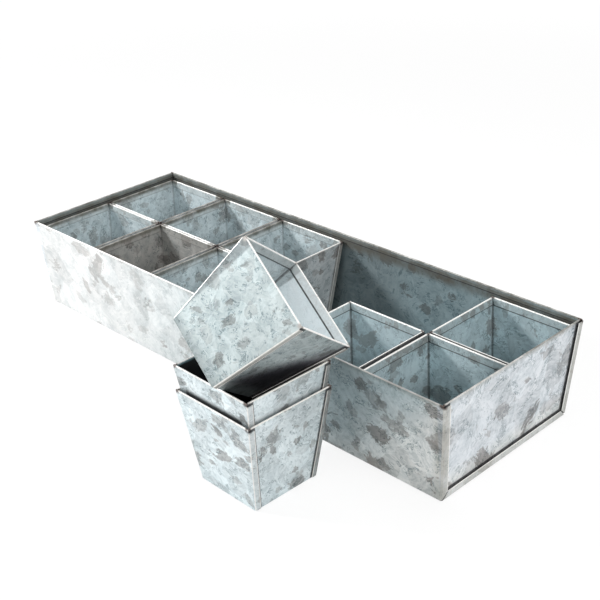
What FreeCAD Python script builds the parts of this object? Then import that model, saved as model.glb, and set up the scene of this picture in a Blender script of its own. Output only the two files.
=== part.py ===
"""Indoor herb planter: a folded sheet tray and its lift-out pots, in millimetres.

The origin is the middle of the tray's underside, +X runs along the tray and +Z is up.
"""
import math
import os

import FreeCAD
import Part
from FreeCAD import Placement, Rotation, Vector

# Galvanised sheet, the same for every piece.
sheet = 0.5
bend_radius = 1.1
hem_gap = 0.4
hem_end_gap = 0.6

# One pot. Its rim is square over the seam strips, and each wall leans in by the flare.
pot_rim = 79.8
pot_flare = 10.0
pot_height = 77.8
pot_hem_height = 6.3
pot_hem_mitre = 4.0
pot_seam_gap = 0.5
pot_seam_width = 4.8
pot_seam_stop = 2.5

# The tray. Its length and width follow from the pots that it holds.
tray_height = 85.0
tray_flare = 6.5
tray_hem_height = 4.8
tray_hem_mitre = 5.0
tray_seam_gap = 1.6
tray_seam_width = 6.5
tray_seam_bend = 1.5
tray_seam_stop = 1.2
tray_seam_play = 0.35
panel_fold_width = 4.4
panel_play = 0.2

# One mark for each column: x stands for a pot, or for the stack in front of the tray.
bay_rows = {"front": "xxx-xx", "back": "xxx--x"}
stack_row = "----x-"
pot_gap = 1.2
tray_end_play = 0.5
tray_side_play = 1.5
seat_gap = 0.2

# Pots stacked in front of the tray, with angles in degrees.
stack_yaw = -1.1
nest_play = 0.2
tilt_yaw = -10.7
tilt_pitch = 31.6
tilt_roll = -43.9
tilt_play = 0.3
lift_play = 1.5
quarter_turn = 90
half_turn = 180

origin = Vector(0, 0, 0)
east = Vector(1, 0, 0)
north = Vector(0, 1, 0)
upward = Vector(0, 0, 1)

columns = len(bay_rows["front"])
pot_lean = pot_flare/pot_height
tray_lean = tray_flare/tray_height
hem_radius = sheet + hem_gap/2
pitch = pot_rim + pot_gap


def run(thickness, lean):
    """Level width of something that thick in a wall that leans outwards."""
    return thickness*math.sqrt(1 + lean**2)


def leaning(lean):
    """Unit directions up a wall that leans towards +Y, and from it inwards."""
    return Vector(0, lean, 1).normalize(), Vector(0, -1, lean).normalize()


pot_half = pot_rim/2 - pot_flare
pot_rise = run(pot_seam_gap + sheet, pot_lean)
pot_crown = pot_height - hem_radius
tray_crown = tray_height - hem_radius
tray_rise = run(tray_seam_gap + sheet, tray_lean)
tray_hem_reach = run(2*hem_radius, tray_lean) + tray_lean*tray_hem_height
panel_top_half = (columns*pitch - pot_gap)/2 + tray_end_play + tray_hem_reach
panel_half = panel_top_half - tray_flare
tray_half = panel_half + tray_rise
wall_half = pitch - pot_gap/2 + tray_side_play + tray_hem_reach - tray_flare
far = 2*(tray_half + tray_height)
nest_rise = (pot_rise + run(2*hem_radius + nest_play, pot_lean))/pot_lean


def mirrored(pairs):
    """Closed outline from its right-hand half, listed from top to bottom."""
    return pairs + [(-across, up) for across, up in reversed(pairs)]


def along_x(pairs):
    """Long solid with the given outline of (y, z) pairs."""
    points = [Vector(-far, across, up) for across, up in pairs]
    return Part.Face(Part.makePolygon(points + points[:1])).extrude(east*(2*far))


def along_y(pairs):
    """Long solid with the given outline of (x, z) pairs."""
    points = [Vector(across, -far, up) for across, up in pairs]
    return Part.Face(Part.makePolygon(points + points[:1])).extrude(north*(2*far))


def flared(half, lean, low, high):
    """Outline that widens upwards; half is its half width at height zero."""
    return mirrored([(half + lean*high, high), (half + lean*low, low)])


def levelled(solid, low, high):
    """The part of a solid between two heights."""
    return solid.common(along_x(flared(far, 0, low, high)))


def foot_edges(solid, low):
    """Lowest edges of a solid, but for those at its far ends."""
    edges = []
    for edge in solid.Edges:
        level = all(abs(vertex.Z - low) < sheet/2 for vertex in edge.Vertexes)
        if level and abs(edge.CenterOfMass.x) < far/2:
            edges.append(edge)
    return edges


def bent_sheet(outer, inner):
    """Sheet between two blocks: round outside its lowest bends, flat inside them."""
    outer = outer.makeFillet(bend_radius, foot_edges(outer, 0))
    inner = inner.makeChamfer(bend_radius - sheet, foot_edges(inner, sheet))
    return outer.cut(inner)


def ribbon(outside, inside, sweep):
    """Folded strip: run, arc and run outside, three flats back along the inside."""
    first, start, middle, end, last = outside
    edges = [Part.makeLine(first, start), Part.Arc(start, middle, end).toShape()]
    for here, there in zip([end, last] + inside, [last] + inside + [first]):
        edges.append(Part.makeLine(here, there))
    return Part.Face(Part.Wire(edges)).extrude(sweep)


def fold(corner, back, onward, radius, back_length, onward_length, sweep):
    """Sheet that turns one corner; both lengths run from the sharp outer corner."""
    half_angle = back.getAngle(onward)/2
    tangent = radius/math.tan(half_angle)
    bisector = (back + onward).normalize()
    centre = corner + bisector*(radius/math.sin(half_angle))
    start = corner + back*tangent
    end = corner + onward*tangent
    first = corner + back*back_length
    last = corner + onward*onward_length
    in_start = (centre - start).normalize()*sheet
    in_end = (centre - end).normalize()*sheet
    outside = [first, start, centre - bisector*radius, end, last]
    inside = [last + in_end, end + in_end, start + in_start, first + in_start]
    return ribbon(outside, inside, sweep)


def hem(centre, into, up, gap, depth, sweep):
    """Sheet edge folded flat on itself round a centre, with its crown upwards."""
    radius = sheet + gap/2
    inner = gap/2
    drop = up*(depth - radius)
    outside = [centre - into*radius - drop, centre - into*radius,
               centre + up*radius,
               centre + into*radius, centre + into*radius - drop]
    inside = [centre + into*inner - drop, centre + (up + into)*inner,
              centre + (up - into)*inner, centre - into*inner - drop]
    return ribbon(outside, inside, sweep)


def rim_hem(half, lean, crown, depth, ends):
    """Rim hem along X on a wall that leans towards +Y, cut to the outline ends."""
    up, into = leaning(lean)
    across = half + lean*crown - run(hem_radius, lean)
    centre = Vector(-far, across, crown)
    return hem(centre, into, up, hem_gap, depth, east*(2*far)).common(along_y(ends))


def seam_strip(half_x, half_y, lean, radius, width, low, high):
    """Strip that the +Y wall folds round its +X corner, standing off the end wall."""
    along = Vector(lean, lean, 1)
    back = along.cross(Vector(0, 1, -lean)).normalize()
    onward = Vector(1, 0, -lean).cross(along).normalize()
    corner = Vector(half_x, half_y, 0) + along*(low - width)
    strip = fold(corner, back, onward, radius, radius + sheet, width, along*(high - low + width))
    return levelled(strip, low, high)


def turned(solid, degrees):
    """The solid turned round the upright axis through the origin."""
    copy = solid.copy()
    copy.rotate(origin, upward, degrees)
    return copy


def with_opposite(solids):
    """The solids and the same ones half a turn further round."""
    return solids + [turned(solid, half_turn) for solid in solids]


def pot_shell():
    """Base and four walls of a pot, up to the middle of the rim's crown."""
    outer_x = pot_half - pot_rise
    skin = run(sheet, pot_lean)
    high = pot_height
    outer = along_x(flared(pot_half, pot_lean, 0, pot_crown))
    outer = outer.common(along_y(flared(outer_x, pot_lean, 0, pot_crown)))
    inner = along_x(flared(pot_half - skin, pot_lean, sheet, high))
    inner = inner.common(along_y(flared(outer_x - skin, pot_lean, sheet, high)))
    return bent_sheet(outer, inner)


def pot_rim_hems():
    """Inward hems of a pot: mitred on the front and back, cut straight on the sides."""
    wall_x = pot_half - pot_rise
    low = pot_height - pot_hem_height - sheet
    high = pot_height + sheet

    def end(half, up):
        return half + pot_lean*up

    mitred = mirrored([(end(wall_x, high), high), (end(wall_x, pot_crown), pot_crown),
                       (end(wall_x, low) - pot_hem_mitre, low)])
    straight = flared(pot_half - run(2*hem_radius + hem_end_gap, pot_lean), pot_lean, low, high)
    back = rim_hem(pot_half, pot_lean, pot_crown, pot_hem_height, mitred)
    side = rim_hem(wall_x, pot_lean, pot_crown, pot_hem_height, straight)
    return with_opposite([back, turned(side, -quarter_turn)])


def pot_seams():
    """Four strips by which the front and back walls lap over the side walls."""
    strip = seam_strip(pot_half, pot_half, pot_lean, pot_rise, pot_seam_width,
                       bend_radius, pot_height - pot_seam_stop)
    return with_opposite([strip, strip.mirror(origin, east)])


def make_pot():
    """One pot with its base on the level plane through the origin."""
    return pot_shell().fuse(pot_rim_hems() + pot_seams()).removeSplitter()


def tray_bed():
    """Front wall, floor and back wall of the trough, without hems or strips."""
    skin = run(sheet, tray_lean)
    outer = along_x(flared(wall_half, tray_lean, 0, tray_crown))
    inner = along_x(flared(wall_half - skin, tray_lean, sheet, tray_height))
    ends = flared(tray_half - tray_seam_bend, tray_lean, -sheet, tray_height)
    return bent_sheet(outer, inner).common(along_y(ends))


def tray_rim_hem():
    """Inward hem of the back wall, mitred where the end panels stand."""
    half = tray_half - tray_seam_bend
    low = tray_height - tray_hem_height - sheet
    high = tray_height + sheet
    ends = mirrored([(half + tray_lean*high, high), (half + tray_lean*tray_crown, tray_crown),
                     (half + tray_lean*low - tray_hem_mitre, low)])
    return rim_hem(wall_half, tray_lean, tray_crown, tray_hem_height, ends)


def tray_side_strip():
    """Strip that the back wall folds round the right end panel, mitred at its foot."""
    high = tray_height - tray_seam_stop
    strip = seam_strip(tray_half, wall_half, tray_lean, tray_seam_bend, tray_seam_width, 0, high)
    edge = wall_half - tray_seam_width
    mitre = [(wall_half, bend_radius), (edge, tray_seam_width + hem_end_gap),
             (edge - tray_seam_width, tray_height), (far, tray_height), (far, bend_radius)]
    return strip.common(along_x(mitre))


def tray_foot_strip():
    """Strip that the floor folds up round the right end panel, mitred at both ends."""
    up = Vector(tray_lean, 0, 1).normalize()
    corner = Vector(tray_half, -far, 0)
    strip = fold(corner, -east, up, tray_seam_bend, 2*tray_seam_bend,
                 tray_seam_width, north*(2*far))
    edge = wall_half - tray_seam_width - hem_end_gap
    mitre = mirrored([(edge - tray_seam_width, 2*tray_seam_width), (edge, tray_seam_width),
                      (wall_half - bend_radius, 0), (wall_half - bend_radius, -sheet)])
    return strip.common(along_x(mitre))


def make_trough():
    """Front wall, floor and back wall with their hems and the strips at both ends."""
    strip = tray_side_strip()
    strips = with_opposite([strip, strip.mirror(origin, north), tray_foot_strip()])
    return tray_bed().fuse(with_opposite([tray_rim_hem()]) + strips).removeSplitter()


def panel_edge(up, radius):
    """Centre of the fold in the panel's edge beside the back wall, at a height."""
    skin = run(sheet, tray_lean)
    x = panel_half - skin + run(radius, tray_lean)
    y = wall_half - skin - run(radius + panel_play, tray_lean)
    return Vector(x + tray_lean*up, y + tray_lean*up, up)


def panel_folds(gap, radius):
    """Edges folded back outwards: one up each side and one along the foot."""
    outward = Vector(1, 0, -tray_lean).normalize()
    low = sheet + panel_play
    start = panel_edge(low + panel_fold_width + hem_end_gap, radius)
    end = panel_edge(tray_height - tray_hem_height - hem_end_gap, radius)
    beside = outward.cross(start - end).normalize()
    side = hem(start, outward, beside, gap, panel_fold_width, end - start)
    foot_end = panel_edge(low + radius, radius) - north*bend_radius
    foot_start = Vector(foot_end.x, -foot_end.y, foot_end.z)
    down = Vector(-tray_lean, 0, -1).normalize()
    foot = hem(foot_start, outward, down, gap, panel_fold_width, foot_end - foot_start)
    return [side, side.mirror(origin, north), foot]


def make_end_panel():
    """Right end panel: leaning plate, inward rim hem and edges folded outwards."""
    gap = tray_seam_gap - sheet - tray_seam_play
    radius = sheet + gap/2
    skin = run(sheet, tray_lean)
    low = sheet + panel_play + radius
    foot = panel_half + tray_lean*low
    head = panel_half + tray_lean*tray_crown
    plate = along_y([(foot, low), (head, tray_crown), (head - skin, tray_crown), (foot - skin, low)])
    outline = flared(panel_edge(0, radius).y, tray_lean, 0, tray_height + sheet)
    hemmed = rim_hem(panel_half, tray_lean, tray_crown, tray_hem_height, outline)
    plate = plate.common(along_x(outline))
    return plate.fuse([turned(hemmed, -quarter_turn)] + panel_folds(gap, radius)).removeSplitter()


def rest_plane(turn, rim, rim_run, edge, edge_run, distance):
    """Plane for the tilted pot's origin that keeps its edge at a distance from a rim."""
    normal = turn.multVec(edge_run).cross(rim_run).normalize()
    if normal.z < 0:
        normal = -normal
    return normal, distance + normal.dot(rim) - normal.dot(turn.multVec(edge))


def tilted_place():
    """Placement of a pot lying with a base corner in the mouth of an upright one."""
    turn = Rotation(tilt_yaw, tilt_pitch, tilt_roll)
    crown_y = pot_half + pot_lean*pot_crown - run(hem_radius, pot_lean)
    crown_x = crown_y - pot_rise
    foot_y = pot_half + pot_lean*bend_radius - run(bend_radius, pot_lean)
    foot_x = foot_y - pot_rise
    post = pot_half - pot_rise
    foot_distance = hem_radius + bend_radius + tilt_play
    planes = [
        rest_plane(turn, Vector(0, -crown_y, pot_crown), east,
                   Vector(foot_x, 0, bend_radius), north, foot_distance),
        rest_plane(turn, Vector(-crown_x, 0, pot_crown), north,
                   Vector(0, foot_y, bend_radius), east, foot_distance),
        rest_plane(turn, Vector(crown_x, 0, pot_crown), north,
                   Vector(post, post, 0), Vector(pot_lean, pot_lean, 1),
                   hem_radius + pot_rise + tilt_play)]
    (front, front_at), (left, left_at), (right, right_at) = planes
    share = 1/front.dot(left.cross(right))
    place = left.cross(right)*front_at + right.cross(front)*left_at + front.cross(left)*right_at
    return Placement(place*share, turn)


def placed(solid, placement):
    """A copy of the solid moved by a placement."""
    copy = solid.copy()
    copy.Placement = placement.multiply(copy.Placement)
    return copy


def column_place(column):
    """Middle of a column along the tray, counted from the left end."""
    return (column - (columns + 1)/2)*pitch


def tray_pots(pot):
    """The pots that stand in the bays of the tray, by name."""
    pots = {}
    for row, side in (("front", -1), ("back", 1)):
        for column, mark in enumerate(bay_rows[row], start=1):
            if mark == "x":
                seat = Vector(column_place(column), side*pitch/2, sheet + seat_gap)
                pots["pot_%s_%d" % (row, column)] = placed(pot, Placement(seat, Rotation()))
    return pots


def stacked_pots(pot):
    """Lower pot, the one nested in it and the one that lies on the mouth of that."""
    yaw = Placement(origin, Rotation(upward, stack_yaw))
    raised = yaw.multiply(Placement(upward*nest_rise, Rotation()))
    tilted = placed(pot, raised.multiply(tilted_place()))
    x = column_place(stack_row.index("x") + 1)
    y = -pitch + pot_gap/2 - lift_play - tilted.BoundBox.YMax
    stand = Placement(Vector(x, y, 0), Rotation())
    return {"pot_stack_lower": placed(pot, stand.multiply(yaw)),
            "pot_stack_middle": placed(pot, stand.multiply(raised)),
            "pot_stack_tilted": placed(tilted, stand)}


def make_all():
    """Every piece of the planter by the name of its node."""
    pot = make_pot()
    panel = make_end_panel()
    pieces = {"tray_trough": make_trough(),
              "tray_end_right": panel,
              "tray_end_left": turned(panel, half_turn)}
    pieces.update(tray_pots(pot))
    pieces.update(stacked_pots(pot))
    return pieces


os.makedirs("parts", exist_ok=True)
for node, piece in make_all().items():
    piece.exportStep("parts/%s.step" % node)
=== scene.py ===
"""Looks for the indoor herb planter: galvanised finish, stage, lamps and camera."""

import math

import bpy
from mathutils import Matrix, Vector


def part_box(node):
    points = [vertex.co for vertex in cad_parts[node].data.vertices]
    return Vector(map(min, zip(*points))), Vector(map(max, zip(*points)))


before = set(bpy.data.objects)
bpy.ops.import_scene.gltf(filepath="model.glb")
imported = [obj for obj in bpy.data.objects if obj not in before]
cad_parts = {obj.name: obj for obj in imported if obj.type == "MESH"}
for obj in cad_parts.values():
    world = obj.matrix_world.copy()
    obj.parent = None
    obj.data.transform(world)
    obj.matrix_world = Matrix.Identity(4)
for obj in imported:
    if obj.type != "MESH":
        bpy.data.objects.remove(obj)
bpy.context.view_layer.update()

bl_info = {
    "name": "Herb Planter Finish",
    "version": (1, 0, 0),
    "blender": (4, 5, 0),
    "location": "View3D > Sidebar > Herb Planter",
    "description": "Galvanised finish, stage and camera for a herb planter with lift-out pots",
    "category": "Object",
}

TRAY_NODES = ("tray_trough", "tray_end_left", "tray_end_right")
STACK_NODES = ("pot_stack_lower", "pot_stack_middle", "pot_stack_tilted")
BAY_NODES = tuple(sorted(
    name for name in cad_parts
    if name.startswith("pot_") and name not in STACK_NODES))
BROWN_NODES = ("pot_front_2",)
# Painted light: how far the inside of each of these pots is lifted to a lighter tone.
CLEAN_INSIDES = {"pot_front_5": 0.20, "pot_front_6": 0.06, "pot_back_6": 0.07, "pot_back_1": 0.07}

FOLD_MASKS = ("Crown", "Band", "Strip", "Edge", "Line", "Corner", "Turn", "Inside",
              "Lip Side", "Below", "Reach")
ORIGIN = (0.0, 0.0, 0.0)
UNTURNED = (0.0, 0.0, 0.0)
NO_FOOT_STRIP = -1.0
WHITE = (1.0, 1.0, 1.0, 1.0)


def length(name, default, description):
    """A size in metres for the panel."""
    return bpy.props.FloatProperty(
        name=name, description=description, default=default, unit="LENGTH", precision=4)


def colour(name, default, description):
    """A colour for the panel."""
    return bpy.props.FloatVectorProperty(
        name=name, description=description, default=default, subtype="COLOR",
        size=3, min=0.0, max=1.0)


def amount(name, default, description, top=1.0):
    """A plain number from zero for the panel."""
    return bpy.props.FloatProperty(
        name=name, description=description, default=default, min=0.0, max=top)


def position(name, default, description):
    """A place in metres for the panel."""
    return bpy.props.FloatVectorProperty(
        name=name, description=description, default=default, unit="LENGTH", size=3)


def rotation(name, default, description):
    """A turn about the three axes for the panel."""
    return bpy.props.FloatVectorProperty(
        name=name, description=description, default=default, subtype="EULER", size=3)


class PlanterFinish(bpy.types.PropertyGroup):
    """Zinc coat, folds and insides of every piece."""

    pale: colour("Pale zinc", (0.78, 0.81, 0.82), "Bright ground of the zinc coat")
    grey: colour("Grey zinc", (0.42, 0.48, 0.50), "Darker clouds in the zinc coat")
    brown: colour("Brown patches", (0.505, 0.475, 0.46), "Tint of the dull leaf-shaped spangles")
    patch_size: length("Patch size", 0.019, "Size of the brown spangles")
    cloud_size: length("Cloud size", 0.020, "Size of the grey clouds")
    streak_size: length("Streak length", 0.0045, "Length of the fine feathered lines")
    metallic: amount("Metallic", 0.55, "How metallic the coat is")
    roughness: amount("Roughness", 0.42, "Gloss of the pale coat")
    dents: length("Dents", 0.0004, "Depth of the soft waves in the sheet")
    # Rubbed wear and a painted highlight lighten crowns, free edges and bends.
    worn: colour("Worn folds", (0.97, 0.955, 0.92), "Rubbed crowns and edges")
    strip: colour("Lapped strips", (0.40, 0.385, 0.355), "Duller strips at the seams")
    tarnish: colour("Tarnished hems", (0.135, 0.13, 0.11), "Dull hems towards the far end")
    rust: colour("Rust specks", (0.06, 0.036, 0.028), "Specks on the cut and folded edges")
    # Inside, dirt and painted shade darken and tint the walls.
    grime: colour("Inside grime", (0.38, 0.68, 0.76), "Tint of the insides")
    # Painted light: the lighter tone that lifts an inside.
    clean: colour("Clean inside", (0.88, 0.96, 0.99), "Tone of a clean inside")


class TrayFinish(bpy.types.PropertyGroup):
    """Looks of the tray."""

    far_tint: colour("Far front wall", (0.885, 0.86, 0.845), "Tint of the clean far end")
    near_tint: colour("Near front wall", (0.94, 0.92, 0.895), "Tint of the duller near wall")
    end_tint: colour("End panels", (0.88, 0.89, 0.92), "Tint of the end panels")
    # Painted shade: a cool cloud of shade on the near front wall.
    cool_tint: colour("Cool cloud", (0.44, 0.54, 0.57), "Tint of the dull cloud on the near wall")
    patch_size: length("Tray patch size", 0.027, "Size of the spangles on the tray")
    strip: colour("Tray strips", (0.53, 0.515, 0.47), "Lapped strips of the tray")
    strip_share: amount("Tray strip cover", 0.75, "How far the tray's strips hide the zinc")
    # Dirt and painted shade inside the tray, with more painted shade towards the far end.
    grime: amount("Grime in the tray", 1.0, "Grime inside the tray")
    grime_tint: colour("Tray grime", (0.46, 0.57, 0.60), "Tint of the inside of the tray")
    shade_tint: colour("Shaded tray", (0.16, 0.15, 0.15), "Tint of the shaded inside of the tray")


class BayFinish(bpy.types.PropertyGroup):
    """Looks of the pots in the tray."""

    tint: colour("Pots in the tray", (1.0, 1.0, 1.0), "Tint of the pots in the tray")
    patches: amount("Bay patches", 1.35, "Strength of the spangles on the pots in the tray", 2.0)
    # Dirt and painted shade inside the pots in the tray; a brown pot is brown inside.
    grime: amount("Grime in the bays", 0.40, "Grime inside the pots in the tray")
    brown_grime: amount("Grime in a brown pot", 1.0, "Grime inside a brown pot")
    brown_tint: colour("Brown inside", (0.51, 0.475, 0.44), "Tint of the inside of a brown pot")
    # Painted shade on the floors inside the pots in the tray.
    deep: amount("Dark floors", 0.52, "How dark the pots in the tray are at their floors")


class StackFinish(bpy.types.PropertyGroup):
    """Looks of the two upright stacked pots."""

    tint: colour("Stacked pots", (0.89, 0.94, 0.955), "Tint of the stacked pots")
    # Rubbed wear and a painted highlight on the stacked pots' crowns.
    worn: colour("Stack folds", (0.80, 0.77, 0.73), "Rubbed crowns of the stacked pots")
    strip: colour("Stack strips", (0.50, 0.50, 0.495), "Lapped strips of the stacked pots")
    strip_share: amount("Stack strip cover", 0.45, "How far the stack's strips hide the zinc")
    # Painted shade on the far lapped strips.
    far_strip: colour("Far strips", (0.20, 0.20, 0.19), "Far lapped strips of the stacked pots")
    # Dirt and painted shade inside the lower pot.
    grime: amount("Grime in the lower pot", 0.40, "Grime inside the lower pot")
    # Painted shade: the covered nested pot is black inside towards its floor.
    nest_grime: amount("Soot in the nested pot", 2.0, "Grime inside the covered pot", 5.0)
    # Painted shade: a dark ring where the nested pot meets the lower pot's rim.
    ring_tint: colour("Ring", (0.02, 0.02, 0.022), "Ring where the nested pot meets the rim")
    ring_share: amount("Ring strength", 0.92, "How dark the ring is")


class TiltedFinish(bpy.types.PropertyGroup):
    """Looks of the tilted pot."""

    tint: colour("Tilted pot", (0.55, 0.60, 0.60), "Tint of the duller tilted pot")
    # Painted shade on its far side wall and upper inside wall; painted shade and painted reflection
    # on its underside.
    back: colour("Tilted pot, far wall", (0.33, 0.36, 0.365), "Tint of its far side wall")
    under_tint: colour("Shaded underside", (0.10, 0.095, 0.11), "Tint of its underside")
    foot_tint: colour("Foot edge", (0.13, 0.15, 0.15), "Tint of its foot edge")
    foot: amount("Dull foot", 0.50, "How dull its foot edge is")
    dull: colour("Shaded wall tint", (0.40, 0.45, 0.46), "Tint of the shaded inside wall")
    shade: amount("Shaded wall", 0.75, "How dull its upper inside wall is")
    # Painted light on its inside, less on the upper inside wall.
    lift: amount("Clean inside", 0.78, "How clean its inside is")
    rust: colour("Tilted pot rust", (0.36, 0.34, 0.32), "Specks on its corners")
    patch_size: length("Tilted patch size", 0.014, "Size of the spangles on the tilted pot")
    patches: amount("Tilted patches", 0.85, "Strength of the spangles on the tilted pot")


class PlanterSizes(bpy.types.PropertyGroup):
    """Sizes of the folds that the finish follows."""

    pot_wall: length("Pot side wall", 0.02889, "Half width of a pot at its foot, to the side walls")
    pot_face: length("Pot front wall", 0.0299, "Half width of a pot at its foot, front to back")
    pot_height: length("Pot height", 0.0778, "Height of a pot")
    pot_lean: amount("Pot lean", 0.1285, "Run of a pot's wall for each unit of rise")
    pot_hem: length("Pot hem", 0.0063, "Depth of the hem inside a pot's rim")
    pot_strip: length("Pot strip", 0.0048, "Width of a pot's lapped strips")
    pot_rise: length("Pot strip rise", 0.00101, "How far a pot's strips stand out")
    pot_slot: length("Pot slot", 0.0016, "Depth of the dark slot under a pot's strips")
    tray_wall: length("Tray end wall", 0.23817, "Half length of the tray's foot, to the end panels")
    tray_face: length("Tray front wall", 0.07717, "Half width of the tray at its foot")
    tray_height: length("Tray height", 0.085, "Height of the tray")
    tray_lean: amount("Tray lean", 0.0765, "Run of the tray's wall for each unit of rise")
    tray_hem: length("Tray hem", 0.0048, "Depth of the hem inside the tray's rim")
    tray_strip: length("Tray strip", 0.0065, "Width of the tray's lapped strips")
    tray_rise: length("Tray strip rise", 0.0021, "How far the tray's strips stand out")
    tray_slot: length("Tray slot", 0.0017, "Depth of the dark slot under the tray's strips")
    stack_yaw: bpy.props.FloatProperty(
        name="Stack turn", description="Turn of the stacked pots", subtype="ANGLE",
        default=math.radians(-1.1))
    tilt_place: position("Tilted pot", (0.107515, -0.166231, 0.104713),
                         "Middle of the tilted pot's base")
    tilt_turn: rotation("Tilted pot turn", (-0.76620, 0.55152, -0.20595), "Turn of the tilted pot")
    tilt_slot: length("Tilted slot", 0.0032, "Depth of the dark slot under its strips")


class PlanterStage(bpy.types.PropertyGroup):
    """Floor, lamps and camera."""

    floor: colour("Floor", (0.93, 0.93, 0.93), "Plain pale floor")
    floor_size: length("Floor size", 8.0, "Length of the floor's sides")
    floor_glow: amount("Floor glow", 0.80, "How far the seen floor is lifted to white")
    sky: amount("Sky", 0.46, "Plain light from all round", 2.0)
    key_power: amount("Key lamp", 15.0, "Power of the large lamp at the right", 500.0)
    key_place: position("Key lamp place", (1.4, -0.3, 1.1), "Where the large lamp hangs")
    fill_power: amount("Fill lamp", 14.0, "Power of the small lamp at the front left", 500.0)
    fill_place: position("Fill lamp place", (-0.85, -0.8, 0.65), "Where the small lamp hangs")
    top_power: amount("Top lamp", 7.0, "Power of the lamp overhead", 500.0)
    top_place: position("Top lamp place", (0.0, 0.3, 1.8), "Where the lamp overhead hangs")
    camera_place: position("Camera place", (0.66321, -0.61436, 0.51062), "Where the camera stands")
    camera_turn: rotation("Camera turn",
                          tuple(math.radians(angle) for angle in (63.000, 2.154, 45.061)),
                          "Turn of the camera")
    lens: bpy.props.FloatProperty(
        name="Lens", description="Focal length in millimetres", default=70.51, min=10.0)


class NodeSheet:
    """Short calls for adding nodes to one tree."""

    def __init__(self, tree):
        self.tree = tree

    def put(self, socket, value):
        """Link a socket to an output, or set its own value."""
        if isinstance(value, bpy.types.NodeSocket):
            self.tree.links.new(value, socket)
        else:
            socket.default_value = value

    def fill(self, node, inputs):
        """Give a node its inputs by name or number."""
        for name, value in inputs.items():
            self.put(node.inputs[name], value)

    def node(self, kind, inputs=None, **settings):
        """A node with settings and inputs."""
        made = self.tree.nodes.new(kind)
        for name, value in settings.items():
            setattr(made, name, value)
        self.fill(made, inputs or {})
        return made

    def math(self, operation, *values, clamp=False):
        """Result of a Math node."""
        return self.node("ShaderNodeMath", dict(enumerate(values)),
                         operation=operation, use_clamp=clamp).outputs[0]

    def times(self, first, second, clamp=False):
        """Product of two values."""
        return self.math("MULTIPLY", first, second, clamp=clamp)

    def larger(self, first, second):
        """The larger of two values."""
        return self.math("MAXIMUM", first, second)

    def less(self, first, second, clamp=False):
        """Difference of two values."""
        return self.math("SUBTRACT", first, second, clamp=clamp)

    def rest(self, share):
        """What a share leaves of one."""
        return self.less(1.0, share)

    def between(self, share, start, end, clamp=False):
        """Value that runs from start to end while a share runs from zero to one."""
        return self.math("MULTIPLY_ADD", share, end - start, start, clamp=clamp)

    def near_zero(self, value, low, high):
        """Smooth step of a value's size, whichever its sign."""
        return self.step(self.math("ABSOLUTE", value), low, high)

    def vector(self, operation, first, second):
        """Result of a Vector Math node on two vectors."""
        return self.node("ShaderNodeVectorMath", {0: first, 1: second},
                         operation=operation).outputs[0]

    def scaled(self, vector, scale):
        """A vector times a number."""
        return self.node("ShaderNodeVectorMath", {0: vector, "Scale": scale},
                         operation="SCALE").outputs[0]

    def size(self, vector):
        """Length of a vector."""
        return self.node("ShaderNodeVectorMath", {0: vector}, operation="LENGTH").outputs["Value"]

    def axes(self, vector):
        """The three parts of a vector."""
        return self.node("ShaderNodeSeparateXYZ", {0: vector}).outputs

    def step(self, value, low, high):
        """Smooth step of a value from low to high."""
        return self.node("ShaderNodeMapRange", {
            "Value": value, "From Min": low, "From Max": high},
            interpolation_type="SMOOTHSTEP").outputs["Result"]

    def mix(self, share, first, second, blend="MIX"):
        """Colour mixed from two colours."""
        return self.node("ShaderNodeMix", {"Factor": share, 6: first, 7: second},
                         data_type="RGBA", blend_type=blend).outputs[2]

    def noise(self, vector, scale, detail, roughness, distortion=0.0, output="Fac"):
        """Noise value, or its colour."""
        return self.node("ShaderNodeTexNoise", {
            "Vector": vector, "Scale": scale, "Detail": detail,
            "Roughness": roughness, "Distortion": distortion}).outputs[output]


def new_group(name, inputs, outputs):
    """An empty shader node group; a socket's default tells its kind, and none is a vector."""
    kinds = {tuple: "NodeSocketColor", float: "NodeSocketFloat", type(None): "NodeSocketVector"}
    group = bpy.data.node_groups.new(name, "ShaderNodeTree")
    for way, sockets in (("INPUT", inputs), ("OUTPUT", outputs)):
        for label, default in sockets.items():
            socket = group.interface.new_socket(
                label, in_out=way, socket_type=kinds[type(default)])
            if default is not None:
                socket.default_value = default
    sheet = NodeSheet(group)
    given = sheet.node("NodeGroupInput").outputs
    result = sheet.node("NodeGroupOutput")
    return group, sheet, given, result


# Leaf-shaped spangles: how close they lie and the share of them left out, how each is drawn
# narrower than its cell, and the soft edge that its barbs break.
LARGE_LEAVES = (1.0, 0.36)
SMALL_LEAVES = (1.7, 0.70)
LEAF_FORM = (2.4, 1.7, 1.15)
LEAF_EDGE = (1.45, 1.32)
LEAF_FADE = 0.02
LEAF_DEPTH = (0.4, 1.0)
BARB_DEPTH = 1.5
BARB_DRAW = (1.0, 1.0, 0.20)
BARB_FINENESS = 1.2
CELL_TURN = 6.3
MIDDLE_GREY = (0.5, 0.5, 0.5)

# Noises of the zinc coat: detail, roughness and distortion.
BARB_NOISE = (3.0, 0.7)
WARP_NOISE = (3.0, 0.6)
CLOUD_NOISE = (5.0, 0.62, 0.4)
MOTTLE_NOISE = (4.0, 0.7, 0.6)
LINE_NOISE = (2.0, 0.6, 0.2)
BREAK_NOISE = (3.0, 0.6)
WAVE_NOISE = (1.0, 0.5)

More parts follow.
